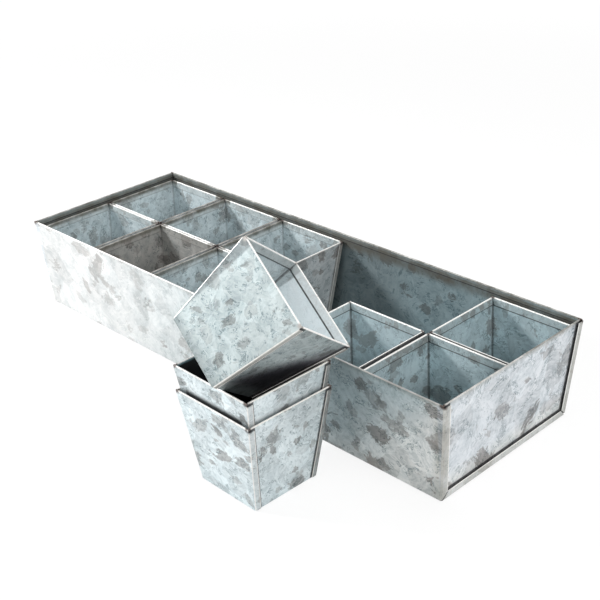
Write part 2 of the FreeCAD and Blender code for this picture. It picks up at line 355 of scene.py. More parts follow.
# Zinc coat: scales against the spangles, clouds or feathered lines, and shares of each tone.
WARP_FINENESS = 2.0
WARP_SHARE = 0.35
CLOUD_SHARE = 0.90
MOTTLE_FINENESS = 6.0
MOTTLE_SHARE = 0.30
CLOUD_EDGE = (0.46, 0.80)
CLOUD_TONE = 0.55
LINE_CELLS = 1.2
LINE_DRAW = (1.0, 1.0, 0.11)
LINE_FINENESS = 1.6
LINE_MIDDLE = 0.5
BREAK_FINENESS = 2.4
BREAK_EDGE = (0.50, 0.57)
STROKE_WIDTH = (0.045, 0.018)
STROKE_TONE = 0.90
FEATHER_EDGE = (0.50, 0.68)
FEATHER_TONE = 0.30
GLEAM_EDGE = (0.47, 0.33)
GLEAM_TONE = 0.30
GLEAM_TINT = (0.92, 0.93, 0.92, 1.0)
CELL_SHADE = (0.86, 1.08)
LEAF_GRAIN = (0.55, 1.45)
LEAF_ROUGH = 0.10
FEATHER_ROUGH = 0.08
WAVE_FINENESS = 0.55
LINE_HEIGHT = 0.00010
STROKE_HEIGHT = -0.00003


def spangle_cells(sheet, place, scale):
    """Place inside each spangle, turned its own way, and three random values of it."""
    cells = sheet.node("ShaderNodeTexVoronoi", {"Vector": place, "Scale": scale}).outputs
    offset = sheet.vector("SUBTRACT", place, cells["Position"])
    turned = sheet.node("ShaderNodeVectorRotate", {
        "Vector": offset,
        "Rotation": sheet.scaled(sheet.vector("SUBTRACT", cells["Color"], MIDDLE_GREY), CELL_TURN)},
        rotation_type="EULER_XYZ").outputs[0]
    return turned, sheet.axes(cells["Color"])


def leaf_spangles(sheet, place, patch_scale, streak_scale, spacing, bare):
    """Mask of leaf-shaped spangles with feathered tips."""
    scale = sheet.times(patch_scale, spacing)
    turned, picks = spangle_cells(sheet, place, scale)
    barbs = sheet.noise(sheet.vector("MULTIPLY", turned, BARB_DRAW),
                        sheet.times(streak_scale, BARB_FINENESS), *BARB_NOISE)
    slim = sheet.scaled(sheet.vector("MULTIPLY", turned, LEAF_FORM), scale)
    reach = sheet.math("ADD", sheet.size(slim), sheet.times(barbs, BARB_DEPTH))
    shown = sheet.times(sheet.step(picks[0], bare, bare + LEAF_FADE),
                        sheet.between(picks[1], *LEAF_DEPTH))
    return sheet.times(sheet.step(reach, *LEAF_EDGE), shown)


def zinc_group():
    """Zinc coat: pale ground, grey clouds, brown spangles and feathered lines."""
    group, sheet, given, result = new_group("Zinc Coat", {
        "Vector": None, "Pale": (0.7, 0.7, 0.7, 1.0), "Grey": (0.4, 0.4, 0.4, 1.0),
        "Brown": (0.3, 0.3, 0.3, 1.0), "Patches": 1.0, "Strokes": 1.0, "Patch Size": 0.011,
        "Cloud Size": 0.018, "Streak Size": 0.0045, "Roughness": 0.42, "Dents": 0.0004},
        {"Color": WHITE, "Roughness": 0.42, "Height": 0.0})
    place = given["Vector"]
    patch_scale, cloud_scale, streak_scale = (
        sheet.math("DIVIDE", 1.0, given[size])
        for size in ("Patch Size", "Cloud Size", "Streak Size"))
    bend = sheet.noise(place, sheet.times(patch_scale, WARP_FINENESS), *WARP_NOISE,
                       output="Color")
    push = sheet.scaled(sheet.vector("SUBTRACT", bend, MIDDLE_GREY),
                        sheet.times(given["Patch Size"], WARP_SHARE))
    warped = sheet.vector("ADD", place, push)
    leaves = sheet.larger(
        leaf_spangles(sheet, warped, patch_scale, streak_scale, *LARGE_LEAVES),
        leaf_spangles(sheet, warped, patch_scale, streak_scale, *SMALL_LEAVES))

    # Clouds of grey under the spangles, with a finer mottle.
    cloud = sheet.noise(warped, cloud_scale, *CLOUD_NOISE)
    mottle = sheet.noise(place, sheet.times(patch_scale, MOTTLE_FINENESS), *MOTTLE_NOISE)
    clouds = sheet.step(sheet.math("MULTIPLY_ADD", mottle, MOTTLE_SHARE,
                                   sheet.times(cloud, CLOUD_SHARE)), *CLOUD_EDGE)

    # Feathered lines that run their own way in every spangle.
    turned, picks = spangle_cells(sheet, warped, sheet.times(patch_scale, LINE_CELLS))
    fine = sheet.noise(sheet.vector("MULTIPLY", turned, LINE_DRAW),
                       sheet.times(streak_scale, LINE_FINENESS), *LINE_NOISE)
    broken = sheet.noise(place, sheet.times(patch_scale, BREAK_FINENESS), *BREAK_NOISE)
    stroke = sheet.times(sheet.near_zero(sheet.less(fine, LINE_MIDDLE), *STROKE_WIDTH),
                         sheet.step(broken, *BREAK_EDGE))
    stroke = sheet.times(stroke, given["Strokes"], clamp=True)
    feather = sheet.times(sheet.step(fine, *FEATHER_EDGE), given["Strokes"])
    gleam = sheet.step(fine, *GLEAM_EDGE)

    tone = sheet.mix(sheet.times(clouds, CLOUD_TONE), given["Pale"], given["Grey"])
    tone = sheet.scaled(tone, sheet.between(picks[2], *CELL_SHADE))
    tone = sheet.mix(sheet.times(feather, FEATHER_TONE), tone, given["Grey"], "MULTIPLY")
    tone = sheet.mix(sheet.times(gleam, GLEAM_TONE), tone, GLEAM_TINT)
    patch = sheet.times(sheet.times(leaves, given["Patches"]),
                        sheet.between(fine, *LEAF_GRAIN), clamp=True)
    tone = sheet.mix(patch, tone, given["Brown"], "MULTIPLY")
    tone = sheet.mix(sheet.times(stroke, STROKE_TONE), tone, given["Grey"], "MULTIPLY")
    rough = sheet.math("MULTIPLY_ADD", leaves, LEAF_ROUGH, given["Roughness"])
    rough = sheet.math("MULTIPLY_ADD", feather, FEATHER_ROUGH, rough)
    wave = sheet.noise(place, sheet.times(cloud_scale, WAVE_FINENESS), *WAVE_NOISE)
    crust = sheet.math("ADD", sheet.times(fine, LINE_HEIGHT), sheet.times(stroke, STROKE_HEIGHT))
    height = sheet.math("ADD", sheet.times(wave, given["Dents"]), crust)
    sheet.fill(result, {"Color": tone, "Roughness": rough, "Height": height})
    return group


# Fold masks, in metres: where each starts and is full. Wall masks are measured outwards from
# the wall's own plane, rim masks down from the rim, and strip masks from the strip's free edge.
INNER_FACE = (-0.00028, -0.0004)
LIP_FACE = (-0.00042, -0.00030)
LIP_DEPTH = (0.004, 0.003)
CROWN_DEPTH = (0.0010, 0.0006)
BAND_END = (0.0002, -0.0001)
UNDER_HEM = 0.0005
UNDER_HEM_LINE = (0.0009, 0.0004)
CORNER_GROOVE = (0.0022, 0.0013)
CORNER_GROOVE_SHARE = 0.75
CORNER_WIDTH = (0.0042, 0.0018)
SLOT_SKIN = (-0.00043, -0.00050)
SLOT_EDGE = (-0.0002, 0.0006)
SLOT_FACE = (-0.0003, -0.0002)
STRIP_PROUD = (0.0002, 0.0004)
STRIP_EDGE = (0.0007, 0.0003)
TURN_SHARE = -0.45
TURN_LINE = (0.00045, 0.00030)
TURN_SIDE = (-0.0009, -0.0006)


def fold_group():
    """Masks of a folded box: crown, hem band, lapped strips, bright edges for rubbed wear and
    painted highlight, and dark lines for painted shade and the dark joints of inside corners.
    """
    group, sheet, given, result = new_group("Fold Masks", {
        "Vector": None, "Half X": 0.03, "Half Y": 0.03, "Lean": 0.1, "Height": 0.08,
        "Hem": 0.006, "Width": 0.005, "Foot": 0.0, "Rise": 0.001, "Slot": 0.0008},
        dict.fromkeys(FOLD_MASKS, 0.0))
    across, along, up = sheet.axes(given["Vector"])
    spread = sheet.times(up, given["Lean"])
    off_x, off_y = (
        sheet.less(sheet.math("ABSOLUTE", axis), sheet.math("ADD", half, spread))
        for axis, half in ((across, given["Half X"]), (along, given["Half Y"])))
    below = sheet.less(given["Height"], up)
    outermost = sheet.larger(off_x, off_y)
    inside = sheet.step(outermost, *INNER_FACE)
    reach = sheet.larger(sheet.math("ABSOLUTE", off_x), sheet.math("ABSOLUTE", off_y))

    crown = sheet.step(below, *CROWN_DEPTH)
    hem_below = sheet.less(below, given["Hem"])
    # Painted shadow under the hem's lower edge; dark joints in the inside corners.
    under = sheet.near_zero(sheet.less(hem_below, UNDER_HEM), *UNDER_HEM_LINE)
    groove = sheet.larger(under, sheet.times(
        sheet.step(reach, *CORNER_GROOVE), CORNER_GROOVE_SHARE))

    # How far a point lies under a lapped strip, from the strip's free edge.
    lapped = sheet.larger(sheet.math("ADD", off_y, given["Width"]),
                          sheet.less(given["Foot"], up))
    # Painted shadow in the slot under a lapped strip.
    skin = sheet.larger(sheet.less(off_x, given["Rise"]), off_y)
    slot = sheet.times(sheet.step(skin, *SLOT_SKIN),
                       sheet.step(sheet.math("ADD", lapped, given["Slot"]), *SLOT_EDGE))
    slot = sheet.times(slot, sheet.step(off_x, *SLOT_FACE))
    strip = sheet.times(sheet.step(off_x, *STRIP_PROUD), sheet.rest(slot))
    bend = sheet.math("MULTIPLY_ADD", given["Rise"], TURN_SHARE, off_x)
    sheet.fill(result, {
        "Crown": crown,
        "Band": sheet.times(inside, sheet.step(hem_below, *BAND_END)),
        "Strip": strip,
        "Edge": sheet.times(strip, sheet.near_zero(lapped, *STRIP_EDGE)),
        "Line": sheet.larger(slot, sheet.times(inside, groove)),
        "Corner": sheet.times(sheet.step(reach, *CORNER_WIDTH),
                              sheet.larger(sheet.rest(inside), crown)),
        "Turn": sheet.times(sheet.near_zero(bend, *TURN_LINE), sheet.step(off_y, *TURN_SIDE)),
        "Inside": inside,
        # Lip Side: the outside just below the rim, where painted shade fills the gaps between pots.
        "Lip Side": sheet.times(sheet.step(outermost, *LIP_FACE), sheet.step(below, *LIP_DEPTH)),
        "Below": below,
        "Reach": reach})
    return group


# Wear, painted light and painted shade: noise as scale, detail and roughness; and how far the
# grain or the blots let each tone through. Depths are shares of the height, and the rest is in
# metres below the rim.
GRAIN = (420.0, 3.0, 0.65)
BLOTS = (75.0, 3.0, 0.6)
SPECKS = (650.0, 2.0, 0.5)
DRAWN_LINES = (900.0, 2.0, 0.6)
DRAWN_STRETCH = (1.0, 1.0, 0.08)
# Painted shade: black towards the floor inside the covered nested pot.
SOOT_TINT = (0.01, 0.01, 0.011, 1.0)
SOOT_DEPTH = (0.0, 0.035)
# Painted shade on the floors inside the pots, patchy with the blots.
FLOOR_TINT = (0.05, 0.07, 0.075, 1.0)
FLOOR_DEPTH = (0.55, 1.35)
FLOOR_BLOTS = 0.5
FLOOR_SHARE = 0.8
BAND_GRAIN = (-0.15, 0.65)
TARNISH_BLOTS = (0.05, 1.55)
TARNISH_DEPTH = (0.016, 0.008)
STRIP_LINES = (0.15, 1.35)
STAIN_REACH = (0.010, 0.001)
STAIN_DEPTH = (0.0050, 0.0015)
STAIN_BLOTS = (-0.15, 1.45)
EDGE_GRAIN = (0.30, 1.30)
BEND_SHINE = (0.9, 0.0)
CROWN_GRAIN = (0.55, 1.15)
SPECK_EDGE = (0.62, 0.70)
SPECK_SHARE = 0.5
TIP_DEPTH = (0.0040, 0.0010)
TIP_GRAIN = (0.32, 0.46)
TIP_SHARE = 0.95
# Dark lines of painted shade under hems, in slots and in the gaps between pots, and dark joints in
# inside corners.
LINE_TINT = (0.015, 0.015, 0.017, 1.0)
LINE_GRAIN = (0.62, 1.12)
LINE_ROUGH = 0.3
MATT_METAL = (1.0, 0.1)


def wall_tone(sheet, given, blots):
    """Walls before their folds: tinted outside; inside, darkened by dirt and painted shade and
    lifted by painted light, then black painted shade and painted shade on the floor; also the black
    painted shade's mask.
    """
    inside = given["Inside"]
    tone = sheet.mix(sheet.rest(inside), given["Color"], given["Tint"], "MULTIPLY")
    even = sheet.times(inside, given["Grime"], clamp=True)
    tone = sheet.mix(even, tone, given["Grime Color"], "MULTIPLY")
    tone = sheet.mix(sheet.times(inside, given["Lift"]), tone, given["Clean"])

    # Black painted shade towards the floor where the dirt and shade amount is above one, and then
    # painted shade on the floor.
    soot = sheet.times(sheet.less(given["Grime"], 1.0, clamp=True),
                       sheet.step(given["Depth"], *SOOT_DEPTH))
    soot = sheet.times(soot, inside, clamp=True)
    tone = sheet.mix(soot, tone, SOOT_TINT)
    deep = sheet.step(sheet.math("MULTIPLY_ADD", blots, FLOOR_BLOTS, given["Depth"]), *FLOOR_DEPTH)
    deep = sheet.times(sheet.times(deep, inside), sheet.times(given["Deep"], FLOOR_SHARE))
    return sheet.mix(deep, tone, FLOOR_TINT), soot


def seam_tone(sheet, given, tone, grain, blots, patchy, soot):
    """Dull hems and strips, tarnish under the rim, and stains beside the folds."""
    band = sheet.times(given["Band"], sheet.between(grain, *BAND_GRAIN), clamp=True)
    tone = sheet.mix(sheet.times(band, sheet.rest(soot)), tone, given["Dull"])
    high = sheet.times(given["Inside"], sheet.step(given["Below"], *TARNISH_DEPTH))
    fogged = sheet.times(given["Band Tarnish"], patchy, clamp=True)
    tone = sheet.mix(sheet.times(sheet.larger(given["Band"], high), fogged), tone,
                     given["Tarnish Color"])
    lines = sheet.noise(sheet.vector("MULTIPLY", given["Vector"], DRAWN_STRETCH), *DRAWN_LINES)
    dull = sheet.times(given["Strip"], sheet.between(lines, *STRIP_LINES), clamp=True)
    tone = sheet.mix(dull, tone, given["Dull"])
    beside = sheet.larger(sheet.step(given["Reach"], *STAIN_REACH),
                          sheet.step(given["Below"], *STAIN_DEPTH))
    beside = sheet.times(beside, sheet.times(sheet.rest(given["Inside"]), given["Stain"]))
    beside = sheet.times(beside, sheet.between(blots, *STAIN_BLOTS), clamp=True)
    return sheet.mix(beside, tone, given["Dull"], "MULTIPLY")


def rust_mask(sheet, given, grain):
    """Specks along the crown, and rust at the tips of the rim's corners."""
    specks = sheet.step(sheet.noise(given["Vector"], *SPECKS), *SPECK_EDGE)
    specks = sheet.times(specks, sheet.times(given["Crown"], SPECK_SHARE))
    tips = sheet.times(sheet.step(given["Below"], *TIP_DEPTH), given["Corner"])
    tips = sheet.times(tips, sheet.step(grain, *TIP_GRAIN))
    return sheet.larger(specks, sheet.times(tips, TIP_SHARE))


def wear_group():
    """Wear and painted light along the folds: dirt and painted shade inside, painted light lifting
    it, dull strips, crowns lightened by rubbed wear and painted highlight, dark lines of painted
    shade, and rust.
    """
    group, sheet, given, result = new_group("Fold Wear", {
        "Vector": None, "Color": (0.7, 0.7, 0.7, 1.0), "Roughness": 0.42, "Metallic": 0.5,
        **dict.fromkeys(FOLD_MASKS, 0.0), "Depth": 0.0, "Tint": WHITE, "Grime": 0.5,
        "Lift": 0.0, "Clean": (0.9, 0.9, 0.9, 1.0), "Grime Color": (0.4, 0.5, 0.5, 1.0),
        "Worn": (0.9, 0.85, 0.8, 1.0), "Dull": (0.6, 0.6, 0.55, 1.0),
        "Rust": (0.2, 0.12, 0.08, 1.0), "Tarnish": 0.0, "Band Tarnish": 0.0,
        "Tarnish Color": (0.2, 0.2, 0.2, 1.0), "Deep": 0.0, "Lip": 0.0, "Stain": 0.0},
        {"Color": WHITE, "Roughness": 0.42, "Metallic": 0.5})
    grain = sheet.noise(given["Vector"], *GRAIN)
    blots = sheet.noise(given["Vector"], *BLOTS)
    patchy = sheet.between(blots, *TARNISH_BLOTS, clamp=True)
    tone, soot = wall_tone(sheet, given, blots)
    tone = seam_tone(sheet, given, tone, grain, blots, patchy, soot)

    # Bright free edges and bends, and the crown, rubbed or tarnished: the bright tone is rubbed
    # wear with a painted highlight.
    bends = sheet.times(given["Turn"], sheet.between(given["Stain"], *BEND_SHINE))
    bright = sheet.times(sheet.larger(given["Edge"], bends),
                         sheet.between(grain, *EDGE_GRAIN, clamp=True))
    tone = sheet.mix(bright, tone, given["Worn"])
    crown = sheet.times(given["Crown"], sheet.between(grain, *CROWN_GRAIN), clamp=True)
    tarnish = sheet.times(given["Tarnish"], patchy, clamp=True)
    tone = sheet.mix(crown, tone, sheet.mix(tarnish, given["Worn"], given["Tarnish Color"]))
    tone = sheet.mix(rust_mask(sheet, given, grain), tone, given["Rust"])

    # Dark lines: painted shade under the hems, in the slots and along the lips in the gaps between
    # pots, and dark joints in the inside corners.
    dark = sheet.larger(sheet.times(given["Line"], sheet.rest(given["Crown"])),
                        sheet.times(given["Lip Side"], given["Lip"]))
    dark = sheet.times(dark, sheet.between(grain, *LINE_GRAIN), clamp=True)
    tone = sheet.mix(dark, tone, LINE_TINT)
    matt = sheet.larger(sheet.larger(crown, dark), soot)
    sheet.fill(result, {
        "Color": tone,
        "Roughness": sheet.math("MULTIPLY_ADD", dark, LINE_ROUGH, given["Roughness"]),
        "Metallic": sheet.times(sheet.between(matt, *MATT_METAL), given["Metallic"])})
    return group


def opaque(tint):
    """A panel colour with full alpha."""
    return (tint[0], tint[1], tint[2], 1.0)


def shared_group(name, build):
    """The node group of that name, built on its first use."""
    return bpy.data.node_groups.get(name) or build()


# The constants from here to dress() say where a tone starts and is full, in metres along the
# tray from its middle or below a rim, and how strong it is before and after that stretch.
SIDE_WALL = 0.002
FAR_RIMS = (0.03, -0.09)
PLAIN_STAIN = 0.15


class FoldedBox:
    """Galvanised material of one folded box that stands at a place with a turn.

    It starts as the plain coat. The touch functions then change the inputs of its zinc group and of
    its group of wear and painted light for one kind of piece, and coated() builds the shader from
    them.
    """

    def __init__(self, name, sizes, location, rotation):
        finish = bpy.context.scene.planter_finish
        self.material = bpy.data.materials.new(name)
        self.material.use_nodes = True
        self.material.node_tree.nodes.clear()
        self.sheet = sheet = NodeSheet(self.material.node_tree)
        self.sizes = sizes
        self.coords = sheet.node("ShaderNodeTexCoord").outputs["Object"]
        local = sheet.node("ShaderNodeMapping", {
            "Vector": self.coords, "Location": location, "Rotation": rotation},
            vector_type="TEXTURE").outputs[0]
        folds = sheet.node("ShaderNodeGroup", node_tree=shared_group("Fold Masks", fold_group))
        sheet.fill(folds, dict(sizes, Vector=local))
        self.masks = {mask: folds.outputs[mask] for mask in FOLD_MASKS}
        self.across, self.along, self.up = sheet.axes(local)
        axes = sheet.axes(self.coords)
        self.lengthways, self.height = axes[0], axes[2]
        self.side = sheet.near_zero(self.across, sizes["Half X"], sizes["Half X"] + SIDE_WALL)
        self.zinc = {
            "Vector": self.coords, "Pale": opaque(finish.pale), "Grey": opaque(finish.grey),
            "Brown": opaque(finish.brown), "Patches": 1.0, "Strokes": 1.0,
            "Patch Size": finish.patch_size, "Cloud Size": finish.cloud_size,
            "Streak Size": finish.streak_size, "Roughness": finish.roughness,
            "Dents": finish.dents}
        self.wear = {
            "Vector": self.coords, "Metallic": finish.metallic,
            "Depth": sheet.rest(sheet.math("DIVIDE", self.up, sizes["Height"])),
            "Grime Color": opaque(finish.grime), "Clean": opaque(finish.clean), "Lift": 0.0,
            "Worn": opaque(finish.worn), "Dull": opaque(finish.strip), "Stain": PLAIN_STAIN,
            "Deep": 0.0, "Rust": opaque(finish.rust), "Lip": 0.0,
            "Tarnish": sheet.times(self.side, sheet.step(self.lengthways, *FAR_RIMS)),
            "Band Tarnish": 0.0, "Tarnish Color": opaque(finish.tarnish)}

    def weaken(self, mask, share):
        """Keep a share of one of the fold masks."""
        self.masks[mask] = self.sheet.times(self.masks[mask], share)

    def below(self, depths):
        """Smooth step over two depths below the rim."""
        return self.sheet.step(self.masks["Below"], *depths)

    def coated(self):
        """The material, with its zinc, its wear and painted light, and its shader."""
        sheet = self.sheet
        zinc = sheet.node("ShaderNodeGroup", node_tree=shared_group("Zinc Coat", zinc_group))
        sheet.fill(zinc, self.zinc)
        wear = sheet.node("ShaderNodeGroup", node_tree=shared_group("Fold Wear", wear_group))
        sheet.fill(wear, {**self.masks, **self.wear, "Color": zinc.outputs["Color"],
                          "Roughness": zinc.outputs["Roughness"]})
        bump = sheet.node("ShaderNodeBump", {
            "Strength": 1.0, "Distance": 1.0, "Height": zinc.outputs["Height"]})
        shader = sheet.node("ShaderNodeBsdfPrincipled", {
            "Base Color": wear.outputs["Color"], "Roughness": wear.outputs["Roughness"],
            "Metallic": wear.outputs["Metallic"], "Normal": bump.outputs[0]})
        sheet.node("ShaderNodeOutputMaterial", {"Surface": shader.outputs[0]})
        return self.material


NEAR_WALL = (-0.19, 0.17)
BACK_WALL = (0.0, 0.01)
RIM_FOG_DEPTH = (0.0018, 0.0030)
RIM_FOG = (0.45, 1.0)
NEAR_TARNISH = 0.65
TRAY_PATCHES = (0.60, 1.45)
END_PATCHES = (1.0, 0.60)
TRAY_STROKES = (0.20, 1.10)
TRAY_STAIN = (0.05, 0.80)
CLOUD = (25.0, 4.0, 0.6)
CLOUD_WANDER = 0.10
CLOUD_END = (0.32, 0.24)
CLOUD_COVER = 0.75
TRAY_SHADE = (0.10, 0.03)
TRAY_SHADE_SHARE = 0.45


def touch_tray(box, looks):
    """Own tints for the far end, the near wall and the end panels, a cool cloud of painted shade on
    the near wall, tarnished rims, and painted shade inside towards the far end.
    """
    sheet = box.sheet
    near = sheet.step(box.lengthways, *NEAR_WALL)
    near_front = sheet.times(near, sheet.rest(box.side))
    rims = sheet.larger(box.wear["Tarnish"], sheet.step(box.along, *BACK_WALL))
    # Painted shade: a cool cloud of shade on the near front wall.
    cloud = sheet.math("MULTIPLY_ADD", sheet.noise(box.coords, *CLOUD), CLOUD_WANDER,
                       sheet.math("ADD", box.lengthways, box.masks["Below"]))
    cloud = sheet.times(sheet.step(cloud, *CLOUD_END), near_front)
    tint = sheet.mix(box.side, opaque(looks.far_tint), opaque(looks.end_tint))
    tint = sheet.mix(near_front, tint, opaque(looks.near_tint))
    tint = sheet.mix(sheet.times(cloud, CLOUD_COVER), tint, opaque(looks.cool_tint))
    shaded = sheet.times(sheet.step(box.lengthways, *TRAY_SHADE), TRAY_SHADE_SHARE)
    box.zinc.update({
        "Patches": sheet.times(sheet.between(near, *TRAY_PATCHES),
                               sheet.between(box.side, *END_PATCHES)),
        "Strokes": sheet.between(near, *TRAY_STROKES), "Patch Size": looks.patch_size})
    box.wear.update({
        "Tint": tint, "Dull": opaque(looks.strip), "Grime": looks.grime,
        "Grime Color": sheet.mix(shaded, opaque(looks.grime_tint), opaque(looks.shade_tint)),
        "Stain": sheet.between(near, *TRAY_STAIN),
        "Tarnish": sheet.larger(rims, sheet.times(near, NEAR_TARNISH)),
        "Band Tarnish": sheet.times(rims, sheet.between(box.below(RIM_FOG_DEPTH), *RIM_FOG))})
    box.weaken("Strip", looks.strip_share)


FAR_BAYS = (0.06, -0.06)
NEAR_BAYS = (-0.02, 0.06)
HEM_FOG_DEPTH = (0.0050, 0.0020)
FAR_PATCH_LOSS = 0.50
FAR_GRIME_LOSS = 0.20
FAR_LINES = (1.0, 0.35)


def touch_bay_pot(box, looks, brown, lift):
    """Paler towards the far end, with less dirt, less painted shade and fainter lines there;
    painted shade along the lips at the near end and on the floors; brown inside, or lifted by
    painted light.
    """
    sheet = box.sheet
    far = sheet.step(box.lengthways, *FAR_BAYS)
    grime = looks.brown_grime if brown else looks.grime
    box.zinc["Patches"] = sheet.between(far, looks.patches, looks.patches - FAR_PATCH_LOSS)
    box.wear.update({
        "Tint": opaque(looks.tint), "Grime": sheet.between(far, grime, grime - FAR_GRIME_LOSS),
        # Painted light lifts some insides; painted shade on the floors and along the lips in the
        # gaps between pots.
        "Lift": lift, "Deep": looks.deep, "Lip": sheet.step(box.lengthways, *NEAR_BAYS),
        "Band Tarnish": sheet.times(box.wear["Tarnish"], box.below(HEM_FOG_DEPTH))})
    if brown:
        box.wear["Grime Color"] = opaque(looks.brown_tint)
    box.weaken("Line", sheet.between(far, *FAR_LINES))


FAR_SIDE = (-0.01, 0.01)
# Painted shade: a dark ring on the nested pot around the lower pot's rim.
RING_ABOVE = (0.0005, 0.0058)
RING_BELOW = (-0.0075, -0.0025)
RING_SIDES = (1.0, 0.35)


def touch_stack_pot(box, looks, nested):
    """Duller folds, darkest on the far side with painted shade on the far strips; black painted
    shade inside the nested pot and a ring of painted shade where it meets the rim.
    """
    sheet = box.sheet
    # Painted shade on the far strips.
    back = sheet.step(box.along, *FAR_SIDE)
    box.wear.update({
        "Tint": opaque(looks.tint), "Worn": opaque(looks.worn),
        "Grime": looks.nest_grime if nested else looks.grime,
        "Dull": sheet.mix(back, opaque(looks.strip), opaque(looks.far_strip))})
    if nested:
        # Painted shade: a dark ring where the nested pot meets the lower pot's rim.
        rim = box.sizes["Height"]
        low, high = (rim + rise for rise in RING_ABOVE)
        ring = sheet.times(sheet.step(box.height, high, low), looks.ring_share)
        faces = sheet.times(sheet.between(box.side, *RING_SIDES), sheet.step(
            box.height, *(rim + rise for rise in RING_BELOW)))
        box.wear["Tint"] = sheet.mix(sheet.times(ring, faces), box.wear["Tint"],
                                     opaque(looks.ring_tint))
    box.weaken("Strip", sheet.between(back, looks.strip_share, 1.0))


# Painted shade and painted reflection on the underside; a darker foot edge.
UNDERSIDE = (0.119, 0.102)
FOOT_EDGE = (0.012, 0.0)


def touch_tilted_pot(box, looks):
    """Painted shade and painted reflection on the underside, a darker foot edge, painted light on
    the lower inside wall, and painted shade on the upper inside wall and the far side wall outside.
    """
    sheet = box.sheet
    # Painted shade and painted reflection on the underside, and a darker foot edge.
    under = sheet.times(sheet.step(box.height, *UNDERSIDE), box.side)
    foot = sheet.times(sheet.step(box.up, *FOOT_EDGE), looks.foot)
    # Painted shade on the far side wall, outside and in; painted light on the other inside walls.
    upper = sheet.step(box.across, -box.sizes["Half X"], -box.sizes["Half X"] - SIDE_WALL)
    tint = sheet.mix(under, opaque(looks.tint), opaque(looks.under_tint))
    tint = sheet.mix(foot, tint, opaque(looks.foot_tint))
    box.zinc.update({"Patches": looks.patches, "Patch Size": looks.patch_size})
    box.wear.update({
        "Tint": sheet.mix(upper, tint, opaque(looks.back)), "Rust": opaque(looks.rust),
        "Grime": sheet.times(upper, looks.shade), "Grime Color": opaque(looks.dull),
        "Lift": sheet.times(looks.lift, sheet.between(upper, 1.0, 1.0 - looks.shade))})


def dress(node, material):
    """Give a piece of the frame one material and its slot."""
    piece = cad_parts[node]
    piece.data.materials.clear()
    piece.data.materials.append(material)
    for face in piece.data.polygons:
        face.material_index = 0


def foot_of(node):
    """Middle of the underside of an upright piece."""
    low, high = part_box(node)
    return Vector(((low.x + high.x)/2, (low.y + high.y)/2, low.z))


def folded_pot(context, node, location, rotation, slot=None):
    """Plain coat of one pot that stands or lies at a place; a pot's walls reach its base."""
    sizes = context.scene.planter_sizes
    return FoldedBox(node + "_zinc", {
        "Half X": sizes.pot_wall, "Half Y": sizes.pot_face, "Lean": sizes.pot_lean,
        "Height": sizes.pot_height, "Hem": sizes.pot_hem, "Width": sizes.pot_strip,
        "Foot": NO_FOOT_STRIP, "Rise": sizes.pot_rise, "Slot": slot or sizes.pot_slot},
        location, rotation)


class PLANTER_OT_tray(bpy.types.Operator):
    """Finish the tray's trough and end panels"""

    bl_idname = "planter.tray"
    bl_label = "Finish Tray"

    def execute(self, context):
        sizes = context.scene.planter_sizes
        box = FoldedBox("tray_zinc", {
            "Half X": sizes.tray_wall, "Half Y": sizes.tray_face, "Lean": sizes.tray_lean,
            "Height": sizes.tray_height, "Hem": sizes.tray_hem, "Width": sizes.tray_strip,
            "Foot": sizes.tray_strip, "Rise": sizes.tray_rise, "Slot": sizes.tray_slot},
            ORIGIN, UNTURNED)
        touch_tray(box, context.scene.tray_finish)
        material = box.coated()
        for node in TRAY_NODES:
            dress(node, material)
        return {"FINISHED"}


class PLANTER_OT_bay_pots(bpy.types.Operator):
    """Finish the pots that stand in the tray"""

    bl_idname = "planter.bay_pots"
    bl_label = "Finish Pots in Tray"

    def execute(self, context):
        for node in BAY_NODES:
            box = folded_pot(context, node, foot_of(node), UNTURNED)
            touch_bay_pot(box, context.scene.bay_finish, node in BROWN_NODES,
                          CLEAN_INSIDES.get(node, 0.0))
            dress(node, box.coated())
        return {"FINISHED"}


class PLANTER_OT_stack(bpy.types.Operator):
    """Finish the lower, the nested and the tilted pot in front of the tray"""

    bl_idname = "planter.stack"
    bl_label = "Finish Stacked Pots"

    def execute(self, context):
        sizes = context.scene.planter_sizes
        lower, middle, tilted = STACK_NODES
        for node in (lower, middle):
            box = folded_pot(context, node, foot_of(node), (0.0, 0.0, sizes.stack_yaw))
            touch_stack_pot(box, context.scene.stack_finish, node == middle)
            dress(node, box.coated())
        box = folded_pot(context, tilted, sizes.tilt_place, sizes.tilt_turn, sizes.tilt_slot)
        touch_tilted_pot(box, context.scene.tilted_finish)
        dress(tilted, box.coated())
        return {"FINISHED"}


FLOOR_DROP = 0.0002
GLOW_REACH = (0.6, 1.6)
GLOW_STRENGTH = 1.02
PLANTER_MIDDLE = (0.05, -0.04, 0.05)
FAR_POTS = (-0.2, -0.1, 0.05)
KEY_SIZE, FILL_SIZE, TOP_SIZE = 1.0, 0.2, 1.2
WARM, PLAIN = (1.0, 0.99, 0.98), (1.0, 1.0, 1.0)
SENSOR_WIDTH = 36.0
NEAREST_SEEN = 0.01


def area_lamp(name, location, aim, size, power, tint):
    """Round lamp that faces a point."""
    data = bpy.data.lights.new(name, "AREA")
    data.shape = "DISK"
    data.size = size
    data.energy = power
    data.color = tint
    lamp = bpy.data.objects.new(name, data)
    bpy.context.scene.collection.objects.link(lamp)
    lamp.location = location
    lamp.rotation_euler = (Vector(aim) - Vector(location)).to_track_quat("-Z", "Y").to_euler()


